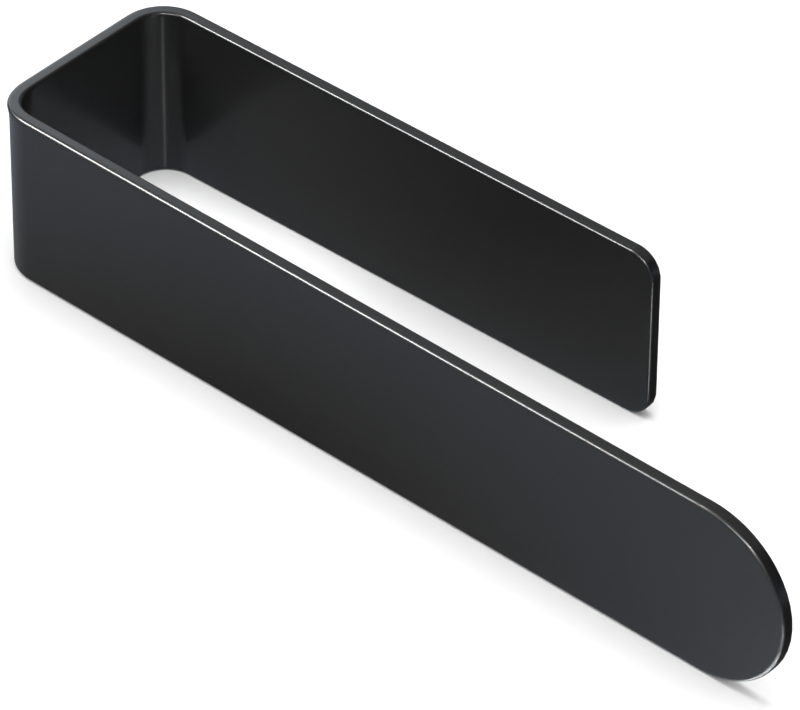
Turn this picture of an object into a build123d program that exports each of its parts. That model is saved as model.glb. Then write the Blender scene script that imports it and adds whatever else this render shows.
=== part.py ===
from build123d import *
import os

# Self-adhesive open bar for hand towels and cloth napkins: one flat strip of coated metal, bent into
# an unequal U. The short arm goes against the wall on a foam pad, and the cloth hangs on the long arm.
#
# Millimetres. X runs along the arms towards their free ends, Y points into the wall and Z is up.
# The wall is the plane y = 0, and the origin is the centre of the pad on it.

# Strip that the bar is bent from
strip_height = 40.0
strip_thickness = 3.0
arris_radius = 0.75

# Bends, seen from above. The wall bend is a little under a right angle, so the arms open outwards.
outside_bend_radius = 10.0
wall_bend_angle = 88.7
front_bend_angle = 90.0

# Arms and web, each measured over the outside of its bends
short_arm_length = 131.0
long_arm_length = 205.0
web_length = 50.0
short_arm_corner_radius = 5.7

# Foam pad on the back of the short arm, and the film that covers it until it is fitted
pad_thickness = 1.1
pad_margin = 4.5
pad_corner_radius = 4.0
liner_thickness = 0.13
tab_length = 8.0
tab_width = 14.0

# Worked out from the dimensions above
middle_bend_radius = outside_bend_radius - strip_thickness / 2
short_arm_straight = short_arm_length - outside_bend_radius
long_arm_straight = long_arm_length - outside_bend_radius
web_straight = web_length - 2 * outside_bend_radius
pad_length = short_arm_straight - 2 * pad_margin
pad_height = strip_height - 2 * pad_margin
bar_back_y = -(pad_thickness + liner_thickness)


def straight_on(curve, length):
    """A straight run of the given length that carries on from the end of a curve."""
    return Line(curve @ 1, curve @ 1 + (curve % 1) * length)


def centre_line():
    """Middle of the strip's thickness, from the short arm's free end round to the long arm's."""
    arm_y = bar_back_y - strip_thickness / 2
    short_arm = Line((short_arm_straight / 2, arm_y), (-short_arm_straight / 2, arm_y))
    wall_bend = JernArc(short_arm @ 1, short_arm % 1, middle_bend_radius, wall_bend_angle)
    web = straight_on(wall_bend, web_straight)
    front_bend = JernArc(web @ 1, web % 1, middle_bend_radius, front_bend_angle)
    long_arm = straight_on(front_bend, long_arm_straight)
    return short_arm + wall_bend + web + front_bend + long_arm


def round_end_waste(tip, direction):
    """What is cut off a square strip end at the tip to leave a full half circle."""
    end_radius = strip_height / 2
    outline = Pos(X=-end_radius / 2) * Rectangle(end_radius, strip_height)
    outline -= Pos(X=-end_radius) * Circle(end_radius)
    face = Plane(origin=tip, x_dir=direction, z_dir=direction.cross(Vector(0, 0, 1)))
    return extrude(face * outline, strip_thickness, both=True)


def round_short_arm_corners(bar):
    """Rounds the two corners of the short arm's free end."""
    end_face = bar.faces().filter_by(Plane.YZ).sort_by(Axis.X)[-1]
    return fillet(end_face.edges().filter_by(Axis.Y), short_arm_corner_radius)


def round_arrises(bar):
    """Rounds every edge between the strip's two skins and its narrow sides.

    The edges left out run across the thickness or over the full height. They only join tangent faces.
    """
    tangent_lengths = (strip_thickness, strip_height)
    arrises = [
        edge for edge in bar.edges()
        if all(abs(edge.length - length) > 0.01 for length in tangent_lengths)
    ]
    return fillet(arrises, arris_radius)


def make_bent_bar():
    path = centre_line()
    bar = extrude(trace(path, strip_thickness), strip_height / 2, both=True)
    bar -= round_end_waste(path @ 1, path % 1)
    return round_arrises(round_short_arm_corners(bar))


def pad_plane(y):
    """A plane parallel to the wall, facing into it."""
    return Plane(origin=(0, y, 0), x_dir=(1, 0, 0), z_dir=(0, 1, 0))


def pad_outline():
    return RectangleRounded(pad_length, pad_height, pad_corner_radius)


def make_adhesive_pad():
    return extrude(pad_plane(bar_back_y) * pad_outline(), pad_thickness)


def make_release_liner():
    """Film with the pad's outline and a pull tab on the edge next to the wall bend."""
    tab = Pos(X=-pad_length / 2) * SlotOverall(2 * tab_length, tab_width)
    return extrude(pad_plane(-liner_thickness) * (pad_outline() + tab), liner_thickness)


os.makedirs("parts", exist_ok=True)
export_step(make_bent_bar(), "parts/bent_bar.step")
export_step(make_adhesive_pad(), "parts/adhesive_pad.step")
export_step(make_release_liner(), "parts/release_liner.step")
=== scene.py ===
from math import cos, hypot, pi, radians, sin, sqrt

import bmesh
import bpy
from mathutils import Matrix, Vector


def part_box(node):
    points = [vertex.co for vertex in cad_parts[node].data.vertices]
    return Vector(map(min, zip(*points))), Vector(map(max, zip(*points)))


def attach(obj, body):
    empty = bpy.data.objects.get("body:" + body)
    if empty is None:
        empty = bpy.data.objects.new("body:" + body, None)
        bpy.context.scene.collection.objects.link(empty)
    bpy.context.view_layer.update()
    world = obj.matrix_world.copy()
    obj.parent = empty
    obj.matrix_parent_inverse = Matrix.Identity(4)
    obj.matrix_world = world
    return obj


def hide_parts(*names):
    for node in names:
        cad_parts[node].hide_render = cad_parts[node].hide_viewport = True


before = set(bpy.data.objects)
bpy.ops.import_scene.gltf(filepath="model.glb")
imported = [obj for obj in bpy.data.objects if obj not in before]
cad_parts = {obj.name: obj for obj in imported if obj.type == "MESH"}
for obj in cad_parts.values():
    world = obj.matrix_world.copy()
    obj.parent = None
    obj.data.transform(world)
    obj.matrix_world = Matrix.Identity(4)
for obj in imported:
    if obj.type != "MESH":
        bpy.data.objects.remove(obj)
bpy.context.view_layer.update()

MM = 0.001

# Strip that the bar is bent from. Its width and its place come from the CAD frame.
BAR_LOW, BAR_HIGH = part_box("bent_bar")
PAD_LOW, PAD_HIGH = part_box("adhesive_pad")
LINER_LOW, LINER_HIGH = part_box("release_liner")
STRIP_WIDTH = BAR_HIGH.z - BAR_LOW.z
THICKNESS = 3 * MM
OUTER_ARRIS = 0.85 * MM
INNER_ARRIS = 0.6 * MM
MIDDLE_Z = (BAR_LOW.z + BAR_HIGH.z) / 2

# Bends and straight runs, in the order that they follow from the short arm's free end
BEND_RADIUS = 10 * MM - THICKNESS / 2
SHORT_ARM_STRAIGHT = 121 * MM
WALL_BEND_ANGLE = radians(88.7)
WEB_STRAIGHT = 30 * MM
FRONT_BEND_ANGLE = radians(90)
LONG_ARM_STRAIGHT = 195 * MM
SHORT_ARM_CORNER = 5.7 * MM
LONG_ARM_CORNER = STRIP_WIDTH / 2

# Cold bending leaves the strip's upper edge standing a little proud at the front bend
EDGE_LIFT = 0.5 * MM
EDGE_LIFT_BAND = 4 * MM

# Camera, aimed at a point on the floor
AIM_X, AIM_Y = 10.19 * MM, -20.24 * MM
CAMERA_AZIMUTH = radians(40.154)
CAMERA_ELEVATION = radians(39.07)
CAMERA_ROLL = radians(0.503)
CAMERA_DISTANCE = 1.3963
SENSOR_WIDTH = 36
LENS = 316.3

# Pad and liner, whose outlines come from the CAD frame too
PAD_CORNER = 4 * MM
TAB_WIDTH = 14 * MM
TAB_CURL = 0.7 * MM

# Floor; the greyer floor that gloss shows in its place, painted with the front arm's shadow: where the
# painted shade lies, its shades from dark to light and bluer, and how much that one covers
FLOOR_REACH = 3.0
FLOOR_ALBEDO = 0.8
SHADE_MIDDLE = (0, -40 * MM, BAR_LOW.z)
SHADE_LENGTH, SHADE_WIDTH = 130 * MM, 58 * MM
SHADE_STOPS = [(0, (0.06, 0.06, 0.06)), (0.5, (0.36, 0.36, 0.36)), (1, (0.56, 0.63, 0.74))]
MIRRORED_FLOOR_ALPHA = 0.8

# Soft light: strength of the white surroundings, which gloss doesn't show, and the lamp over the floor
WORLD_STRENGTH = 1.0
OVERHEAD = ("overhead", (0, 0, 1), 2.0, 1.2, 1.2, 33)

# Softboxes that only show as gloss: name, direction, distance, width, height, power and colour
SOFTBOXES = [
    ("high_back", (-0.3, 0.7, 0.8), 2.2, 5.0, 5.0, 25, (1, 1, 1)),
    ("front_left", (-0.56, -0.54, 0.63), 0.9, 0.42, 0.26, 15, (1, 1, 1)),
    ("front", (0.20, -0.88, 0.42), 0.9, 0.50, 0.20, 5, (1, 1, 1)),
    ("by_camera", (0.46, -0.63, 0.63), 1.0, 0.15, 0.15, 4, (1, 1, 1)),
    ("left", (-0.85, 0.35, 0.40), 0.8, 0.5, 0.5, 1.8, (0.80, 0.91, 1)),
]

# Lamp just over the gap between the arms
GAP_LIGHT_PLACE = (-0.038, -0.028, BAR_HIGH.z + 0.012)
GAP_LIGHT_LENGTH, GAP_LIGHT_WIDTH = 0.048, 0.028
GAP_LIGHT_SPREAD = radians(60)
GAP_LIGHT_POWER = 0.0044

# Level cards that only show as gloss: name, middle, length, width and brightness (0 is a black card). A
# glowing card, which is no lamp, paints a highlight; a black one paints shade into the reflection
CARDS = [
    # Glowing cards, which are no lamps, paint highlight lines on the arrises at the arms' ends and in the
    # inner bend; the low one shows through the greyer floor
    ("low_card", (0.28, -0.38, -0.38), 0.07, 0.08, 14),
    ("short_arm_card", (0.133, -0.080, -0.080), 0.055, 0.050, 36),
    ("long_arm_card", (0.196, -0.130, -0.080), 0.055, 0.060, 28),
    # Black cards on the floor paint shade into the reflections in the ends of the arms
    ("painted_shade_back_card", (0.150, 0.043, BAR_LOW.z + 0.1 * MM), 0.180, 0.094, 0),
    ("painted_shade_side_card", (0.176, -0.0295, BAR_LOW.z + 0.1 * MM), 0.128, 0.051, 0),
]

# Mesh detail
PAD_CORNER_STEPS = 12
TAB_STEPS = 32
TAB_CURL_STEPS = 10
ARRIS_STEPS = 8
ROW_COUNT = 16
CAP_COLUMNS = 12
STRAIGHT_STEP = 3 * MM
BEND_STEP = 0.4 * MM


def follow(run, distance):
    """Point and heading on the strip's middle line, seen from above, at a distance along one run."""
    start, heading, length, turn = run[1:]
    if not turn:
        return start + distance * Vector((cos(heading), sin(heading))), heading
    centre = start + BEND_RADIUS * Vector((-sin(heading), cos(heading)))
    heading += turn * distance / length
    return centre + BEND_RADIUS * Vector((sin(heading), -cos(heading))), heading


def lay_out_runs():
    """Straight runs and bends: distance from the short arm's end, start, heading, length and turn."""
    plan = [
        (SHORT_ARM_STRAIGHT, 0),
        (BEND_RADIUS * WALL_BEND_ANGLE, WALL_BEND_ANGLE),
        (WEB_STRAIGHT, 0),
        (BEND_RADIUS * FRONT_BEND_ANGLE, FRONT_BEND_ANGLE),
        (LONG_ARM_STRAIGHT, 0),
    ]
    middle_of_pad = (PAD_LOW.x + PAD_HIGH.x) / 2
    point = Vector((middle_of_pad + SHORT_ARM_STRAIGHT / 2, BAR_HIGH.y - THICKNESS / 2))
    heading = pi
    along = 0
    runs = []
    for length, turn in plan:
        runs.append((along, point, heading, length, turn))
        point, heading = follow(runs[-1], length)
        along += length
    return runs, along


RUNS, STRIP_LENGTH = lay_out_runs()


def edge_lift(along, up):
    """How far the upper edge stands out at the front bend: most at its middle, none below a narrow band."""
    near_edge = max(up - (STRIP_WIDTH / 2 - EDGE_LIFT_BAND), 0) / EDGE_LIFT_BAND
    start, length = RUNS[3][0], RUNS[3][3]
    share = min(max((along - start) / length, 0), 1)
    return EDGE_LIFT * near_edge ** 2 * sin(pi * share) ** 2


def bend_into_place(along, up, out):
    """A point of the flat strip, put where bending the strip takes it."""
    run = [run for run in RUNS if run[0] <= max(along, 0)][-1]
    point, heading = follow(run, along - run[0])
    point = point + (out + edge_lift(along, up)) * Vector((sin(heading), -cos(heading)))
    return point.x, point.y, MIDDLE_Z + up


def end_depth(up, corner, arris):
    """How far a skin's outline lies back from the strip's end at a height, with these corners."""
    radius = corner - arris
    above_straight = max(abs(up) - (STRIP_WIDTH / 2 - corner), 0)
    return corner - sqrt(max(radius ** 2 - above_straight ** 2, 0))


def cap_column(corner, arris, share):
    """A column of a skin near an end: straight up at share 0, and along the outline at share 1."""
    angle = pi / 2 - share * pi / 4
    top = STRIP_WIDTH / 2 - corner + (corner - arris) * sin(angle)
    depth = end_depth(top, corner, arris)
    ups = [top * sin(pi * (row / ROW_COUNT - 0.5)) for row in range(ROW_COUNT + 1)]
    return [(depth + share * (end_depth(up, corner, arris) - depth), up) for up in ups]


def skin_columns(arris):
    """Columns of points on one of the flat strip's skins, as (distance along, height), from end to end."""
    shares = [step / CAP_COLUMNS for step in range(CAP_COLUMNS + 1)]
    columns = [cap_column(SHORT_ARM_CORNER, arris, share) for share in reversed(shares)]
    stops = [SHORT_ARM_CORNER] + [run[0] for run in RUNS[1:]] + [STRIP_LENGTH - LONG_ARM_CORNER]
    ups = [up for _, up in columns[-1]]
    for start, stop, run in zip(stops, stops[1:], RUNS):
        steps = round((stop - start) / (BEND_STEP if run[4] else STRAIGHT_STEP))
        columns += [[(start + (stop - start) * step / steps, up) for up in ups] for step in range(1, steps)]
        columns.append([(stop, up) for up in ups])
    for share in shares[1:]:
        cap = cap_column(LONG_ARM_CORNER, arris, share)
        columns.append([(STRIP_LENGTH - depth, up) for depth, up in cap])
    return columns


def outward_normal(along, up):
    """Direction straight out of the flat strip's outline at a point of it."""
    core_along = min(max(along, SHORT_ARM_CORNER), STRIP_LENGTH - LONG_ARM_CORNER)
    corner = SHORT_ARM_CORNER if along < STRIP_LENGTH / 2 else LONG_ARM_CORNER
    core_up_limit = STRIP_WIDTH / 2 - corner
    core_up = min(max(up, -core_up_limit), core_up_limit)
    size = hypot(along - core_along, up - core_up)
    return (along - core_along) / size, (up - core_up) / size


def skin_faces(columns, rows, first):
    """Quads of a grid of vertices that is stored column by column from a first vertex."""
    faces = []
    for column in range(columns - 1):
        for row in range(rows - 1):
            corner = first + column * rows + row
            faces.append((corner, corner + rows, corner + rows + 1, corner + 1))
    return faces


def skin_border(columns, rows, first):
    """Vertices round such a grid, anticlockwise from its first one."""
    last = columns - 1
    border = [column * rows for column in range(last)]
    border += [last * rows + row for row in range(rows - 1)]
    border += [column * rows + rows - 1 for column in range(last, 0, -1)]
    border += [row for row in range(rows - 1, 0, -1)]
    return [first + vertex for vertex in border]


def band_faces(upper, lower):
    """Quads between two closed loops of vertices with as many points each."""
    return [
        (upper[i], lower[i], lower[(i + 1) % len(lower)], upper[(i + 1) % len(upper)])
        for i in range(len(upper))
    ]


def make_mesh_object(name, points, faces, material):
    mesh = bpy.data.meshes.new(name)
    mesh.from_pydata(points, [], faces)
    mesh.polygons.foreach_set("use_smooth", [True] * len(mesh.polygons))
    mesh.materials.append(material)
    piece = bpy.data.objects.new(name, mesh)
    bpy.context.scene.collection.objects.link(piece)
    return piece


def arris_profile():
    """Loops round the narrow side: how far each lies from the outer skin's border and from mid-surface."""
    turns = [pi / 2 * step / ARRIS_STEPS for step in range(ARRIS_STEPS + 1)]
    outer_out = THICKNESS / 2 - OUTER_ARRIS
    inner_out = INNER_ARRIS - THICKNESS / 2
    inner_border = OUTER_ARRIS - INNER_ARRIS
    outer = [(OUTER_ARRIS * sin(turn), outer_out + OUTER_ARRIS * cos(turn)) for turn in turns[1:]]
    inner = [
        (inner_border + INNER_ARRIS * cos(turn), inner_out - INNER_ARRIS * sin(turn))
        for turn in turns[:-1]
    ]
    return outer + inner


def make_bar(material):
    """The whole strip: an outer and an inner skin, and a narrow side with two rounded arrises all round."""
    columns = skin_columns(OUTER_ARRIS)
    rows = ROW_COUNT + 1
    skin = [point for column in columns for point in column]
    flat = [(along, up, THICKNESS / 2) for along, up in skin]
    flat += [(along, up, -THICKNESS / 2) for column in skin_columns(INNER_ARRIS) for along, up in column]
    outer_border = skin_border(len(columns), rows, 0)
    loops = [outer_border]
    for outwards, out in arris_profile():
        loops.append([len(flat) + i for i in range(len(outer_border))])
        for vertex in outer_border:
            along, up = skin[vertex]
            normal_along, normal_up = outward_normal(along, up)
            flat.append((along + outwards * normal_along, up + outwards * normal_up, out))
    loops.append(skin_border(len(columns), rows, len(skin)))

    faces = skin_faces(len(columns), rows, 0)
    faces += [face[::-1] for face in skin_faces(len(columns), rows, len(skin))]
    for upper, lower in zip(loops, loops[1:]):
        faces += band_faces(upper, lower)
    bar = make_mesh_object("bar", [bend_into_place(*point) for point in flat], faces, material)
    bar.modifiers.new("flat_skins", "WEIGHTED_NORMAL")
    return bar


def arc(centre_x, centre_z, radius, start, stop, steps):
    """Points along an arc in the wall's plane, its angles in degrees."""
    angles = [radians(start + (stop - start) * step / steps) for step in range(steps + 1)]
    return [(centre_x + radius * cos(angle), centre_z + radius * sin(angle)) for angle in angles]


def pad_corner(side_x, side_z, start, inset):
    """Rounded corner of the pad's outline, drawn in by an inset."""
    centre_x = (PAD_HIGH.x if side_x > 0 else PAD_LOW.x) - side_x * PAD_CORNER
    centre_z = (PAD_HIGH.z if side_z > 0 else PAD_LOW.z) - side_z * PAD_CORNER
    return arc(centre_x, centre_z, PAD_CORNER - inset, start, start + 90, PAD_CORNER_STEPS)


def pad_outline(inset):
    outline = pad_corner(1, 1, 0, inset) + pad_corner(-1, 1, 90, inset)
    return outline + pad_corner(-1, -1, 180, inset) + pad_corner(1, -1, 270, inset)


def liner_outline(inset):
    """The pad's outline with a round pull tab on its edge next to the wall bend."""
    tab_x = LINER_LOW.x + TAB_WIDTH / 2
    outline = pad_corner(1, 1, 0, inset) + pad_corner(-1, 1, 90, inset)
    outline += [(PAD_LOW.x + inset, TAB_WIDTH / 2 - inset)]
    outline += arc(tab_x, 0, TAB_WIDTH / 2 - inset, 90, 270, TAB_STEPS)
    outline += [(PAD_LOW.x + inset, inset - TAB_WIDTH / 2)]
    return outline + pad_corner(-1, -1, 180, inset) + pad_corner(1, -1, 270, inset)


def make_layered_piece(name, outline, layers, material):
    """A flat piece on the wall: its outline at each layer's inset and depth, closed at both ends."""
    points = [(x, y, z) for inset, y in layers for x, z in outline(inset)]
    size = len(points) // len(layers)
    loops = [list(range(first, first + size)) for first in range(0, len(points), size)]
    faces = [loops[0], loops[-1][::-1]]
    for inner, outer in zip(loops, loops[1:]):
        faces += band_faces(outer, inner)
    return make_mesh_object(name, points, faces, material)


def make_pad(material):
    """Die-cut foam: crisp edges, and a side that bulges a little where the foam has been pressed on."""
    depth = PAD_HIGH.y - PAD_LOW.y
    shape = [(0.12, 0), (0.02, 0.06), (-0.06, 0.3), (-0.08, 0.5), (-0.06, 0.7), (0.02, 0.94), (0.12, 1)]
    layers = [(inset * MM, PAD_LOW.y + share * depth) for inset, share in shape]
    return make_layered_piece("foam_pad", pad_outline, layers, material)


def curl_tab(film):
    """Cuts the film across its pull tab, and bends the tab off the wall towards the wall bend."""
    tab_length = PAD_LOW.x - LINER_LOW.x
    bent = bmesh.new()
    bent.from_mesh(film.data)
    for step in range(TAB_CURL_STEPS):
        cut = (PAD_LOW.x - tab_length * step / TAB_CURL_STEPS, 0, 0)
        geometry = bent.verts[:] + bent.edges[:] + bent.faces[:]
        bmesh.ops.bisect_plane(bent, geom=geometry, plane_co=cut, plane_no=(1, 0, 0))
    for vertex in bent.verts:
        share = max(PAD_LOW.x - vertex.co.x, 0) / tab_length
        vertex.co.y -= TAB_CURL * share ** 2
    bent.to_mesh(film.data)
    bent.free()


def make_liner(material):
    """Thin film on the pad, flat but for its pull tab."""
    layers = [(0, LINER_LOW.y), (0, LINER_HIGH.y)]
    film = make_layered_piece("liner_film", liner_outline, layers, material)
    curl_tab(film)
    film.data.set_sharp_from_angle(angle=radians(40))
    return film


def start_material(name):
    """A new node material: its node tree and its shader."""
    material = bpy.data.materials.new(name)
    material.use_nodes = True
    tree = material.node_tree
    return material, tree, tree.nodes["Principled BSDF"]


def add_noise(tree, scale, detail=2.0, roughness=0.5):
    """A noise texture in the object's own space, so that it keeps its size everywhere."""
    place = tree.nodes.new("ShaderNodeTexCoord")
    noise = tree.nodes.new("ShaderNodeTexNoise")
    noise.inputs["Scale"].default_value = scale
    noise.inputs["Detail"].default_value = detail
    noise.inputs["Roughness"].default_value = roughness
    tree.links.new(place.outputs["Object"], noise.inputs["Vector"])
    return noise.outputs["Fac"]


def add_range(tree, value, low, high):
    """Spreads a value that runs from about 0.3 to 0.7 over a range."""
    spread = tree.nodes.new("ShaderNodeMapRange")
    spread.inputs["From Min"].default_value = 0.3
    spread.inputs["From Max"].default_value = 0.7
    spread.inputs["To Min"].default_value = low
    spread.inputs["To Max"].default_value = high
    tree.links.new(value, spread.inputs["Value"])
    return spread.outputs["Result"]


def add_two_colours(tree, value, dark, light):
    """A colour between two, led by a value."""
    mix = tree.nodes.new("ShaderNodeMix")
    mix.data_type = "RGBA"
    mix.inputs["A"].default_value = (*dark, 1)
    mix.inputs["B"].default_value = (*light, 1)
    tree.links.new(value, mix.inputs["Factor"])
    return mix.outputs["Result"]


def add_bump(tree, shader, height, distance, strength=1.0):
    bump = tree.nodes.new("ShaderNodeBump")
    bump.inputs["Strength"].default_value = strength
    bump.inputs["Distance"].default_value = distance
    tree.links.new(height, bump.inputs["Height"])
    tree.links.new(bump.outputs["Normal"], shader.inputs["Normal"])


def coated_metal():
    """Satin black coating: even colour, a fine orange-peel surface and a smooth clear top."""
    material, tree, shader = start_material("coated_metal")
    broad = add_range(tree, add_noise(tree, 22), 0, 1)
    colour = add_two_colours(tree, broad, (0.0040, 0.0040, 0.0044), (0.0050, 0.0050, 0.0054))
    tree.links.new(colour, shader.inputs["Base Color"])
    grain = add_noise(tree, 2600, detail=3)
    tree.links.new(add_range(tree, grain, 0.42, 0.50), shader.inputs["Roughness"])
    add_bump(tree, shader, grain, 0.004 * MM)
    shader.inputs["IOR"].default_value = 1.45
    shader.inputs["Specular IOR Level"].default_value = 0.42
    shader.inputs["Coat Weight"].default_value = 0.6
    shader.inputs["Coat Roughness"].default_value = 0.17
    return material


def pad_foam():
    """Black closed-cell foam: matt, with fine cells cut open at its edge."""
    material, tree, shader = start_material("pad_foam")
    cells = add_noise(tree, 5200, detail=4, roughness=0.65)
    colour = add_two_colours(tree, add_range(tree, cells, 0, 1), (0.010, 0.010, 0.011), (0.030, 0.030, 0.032))
    tree.links.new(colour, shader.inputs["Base Color"])
    tree.links.new(add_range(tree, cells, 0.75, 0.95), shader.inputs["Roughness"])
    add_bump(tree, shader, cells, 0.06 * MM)
    return material


def liner_film():
    """Thin red film: semi-gloss, a little uneven where it lies on the foam."""
    material, tree, shader = start_material("liner_film")
    broad = add_noise(tree, 90, detail=3)
    colour = add_two_colours(tree, add_range(tree, broad, 0, 1), (0.45, 0.020, 0.016), (0.51, 0.026, 0.021))
    tree.links.new(colour, shader.inputs["Base Color"])
    tree.links.new(add_range(tree, broad, 0.30, 0.42), shader.inputs["Roughness"])
    add_bump(tree, shader, broad, 0.05 * MM, strength=0.6)
    return material


def floor_paint():
    """Matt white paint with the faintest mottling."""
    material, tree, shader = start_material("floor_paint")
    dark, light = (0.99 * FLOOR_ALBEDO,) * 3, (1.01 * FLOOR_ALBEDO,) * 3
    colour = add_two_colours(tree, add_noise(tree, 3), dark, light)
    tree.links.new(colour, shader.inputs["Base Color"])
    shader.inputs["Roughness"].default_value = 1.0
    shader.inputs["Specular IOR Level"].default_value = 0.0
    return material


def gloss_floor_painted_shade():
    """Matt grey surface whose colour is a painted reflection: a painted shadow, dark in a long oval under the
    front arm, and lighter and bluer away from it.
    """
    material, tree, shader = start_material("gloss_floor_painted_shade")
    place = tree.nodes.new("ShaderNodeTexCoord")
    oval = tree.nodes.new("ShaderNodeMapping")
    oval.vector_type = "TEXTURE"
    oval.inputs["Location"].default_value = SHADE_MIDDLE
    oval.inputs["Scale"].default_value = (SHADE_LENGTH, SHADE_WIDTH, SHADE_WIDTH)
    tree.links.new(place.outputs["Object"], oval.inputs["Vector"])
    away = tree.nodes.new("ShaderNodeVectorMath")
    away.operation = "LENGTH"
    tree.links.new(oval.outputs["Vector"], away.inputs[0])
    # Painted shadow: darkest at the oval's middle, lighter and bluer outwards
    ramp = tree.nodes.new("ShaderNodeValToRGB")
    ramp.color_ramp.elements.new(SHADE_STOPS[1][0])
    for element, (position, colour) in zip(ramp.color_ramp.elements, SHADE_STOPS):
        element.position = position
        element.color = (*colour, 1)
    tree.links.new(away.outputs["Value"], ramp.inputs["Fac"])
    tree.links.new(ramp.outputs["Color"], shader.inputs["Base Color"])
    shader.inputs["Roughness"].default_value = 1.0
    shader.inputs["Specular IOR Level"].default_value = 0.0
    shader.inputs["Alpha"].default_value = MIRRORED_FLOOR_ALPHA
    return material


def make_floor(name, material):
    corners = [(-FLOOR_REACH, -FLOOR_REACH), (FLOOR_REACH, -FLOOR_REACH)]
    corners += [(FLOOR_REACH, FLOOR_REACH), (-FLOOR_REACH, FLOOR_REACH)]
    points = [(x, y, BAR_LOW.z) for x, y in corners]
    floor = make_mesh_object(name, points, [(0, 1, 2, 3)], material)
    return floor


def add_floors():
    """The pale floor, and a greyer one in its place that only the coating's gloss shows, with the front arm's
    shadow painted on it.
    """
    floor = make_floor("floor", floor_paint())
    floor.visible_glossy = False
    mirrored = make_floor("mirrored_floor", gloss_floor_painted_shade())
    mirrored.visible_camera = False
    mirrored.visible_diffuse = False
    mirrored.visible_shadow = False


def add_softbox(name, towards, distance, width, height, power, colour=(1, 1, 1), lights_floor=False):
    """A rectangular light in a direction from the object, turned to face it, for the floor or for gloss."""
    lamp = bpy.data.lights.new(name, "AREA")
    lamp.shape = "RECTANGLE"
    lamp.size = width
    lamp.size_y = height
    lamp.energy = power
    lamp.color = colour
    softbox = bpy.data.objects.new(name, lamp)
    direction = Vector(towards).normalized()
    softbox.location = direction * distance
    softbox.rotation_euler = direction.to_track_quat("Z", "Y").to_euler()
    softbox.visible_diffuse = lights_floor
    softbox.visible_glossy = not lights_floor
    bpy.context.scene.collection.objects.link(softbox)


def add_gap_light():
    """A low lamp over the gap between the arms, whose narrow beam reaches only the floor there."""
    lamp = bpy.data.lights.new("gap", "AREA")
    lamp.shape = "RECTANGLE"
    lamp.size = GAP_LIGHT_LENGTH
    lamp.size_y = GAP_LIGHT_WIDTH
    lamp.spread = GAP_LIGHT_SPREAD
    lamp.energy = GAP_LIGHT_POWER
    light = bpy.data.objects.new("gap", lamp)
    light.location = GAP_LIGHT_PLACE
    light.visible_camera = False
    light.visible_glossy = False
    bpy.context.scene.collection.objects.link(light)


def add_card(name, middle, length, width, brightness):
    """A level card under or on the floor that only the coating's gloss shows: a glowing one, which is no
    lamp, paints a highlight, and a black one paints shade into the reflection.
    """
    material, tree, shader = start_material(name)
    shader.inputs["Base Color"].default_value = (0.02, 0.02, 0.02, 1)
    shader.inputs["Emission Color"].default_value = (0.93, 0.97, 1, 1)
    shader.inputs["Emission Strength"].default_value = brightness
    material.cycles.emission_sampling = "NONE"
    ends, sides = length / 2, width / 2
    corners = [(-ends, -sides, 0), (ends, -sides, 0), (ends, sides, 0), (-ends, sides, 0)]
    card = make_mesh_object(name, corners, [(0, 1, 2, 3)], material)
    card.location = middle
    card.visible_camera = False
    card.visible_diffuse = False
    card.visible_shadow = False


def light_scene():
    world = bpy.data.worlds.new("studio")
    world.use_nodes = True
    background = world.node_tree.nodes["Background"]
    background.inputs["Color"].default_value = (1, 1, 1, 1)
    background.inputs["Strength"].default_value = WORLD_STRENGTH
    bpy.context.scene.world = world
    world.cycles_visibility.glossy = False
    add_softbox(*OVERHEAD, lights_floor=True)
    for softbox in SOFTBOXES:
        add_softbox(*softbox)
    add_gap_light()
    for card in CARDS:
        add_card(*card)
    bpy.context.scene.view_settings.view_transform = "Standard"


def place_camera():
    lens = bpy.data.cameras.new("camera")
    lens.sensor_width = SENSOR_WIDTH
    lens.lens = LENS
    camera = bpy.data.objects.new("camera", lens)
    turn = Matrix.Rotation(CAMERA_AZIMUTH, 4, "Z") @ Matrix.Rotation(pi / 2 - CAMERA_ELEVATION, 4, "X")
    back = turn @ Vector((0, 0, CAMERA_DISTANCE))
    aim = Vector((AIM_X, AIM_Y, BAR_LOW.z))
    camera.matrix_world = Matrix.Translation(aim + back) @ turn @ Matrix.Rotation(CAMERA_ROLL, 4, "Z")
    bpy.context.scene.collection.objects.link(camera)
    bpy.context.scene.camera = camera


def place_piece(piece, body, node):
    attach(piece, body)
    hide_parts(node)


foam_pad = make_pad(pad_foam())
place_piece(make_bar(coated_metal()), "holder", "bent_bar")
place_piece(foam_pad, "holder", "adhesive_pad")
place_piece(make_liner(liner_film()), "liner", "release_liner")
add_floors()
light_scene()
place_camera()
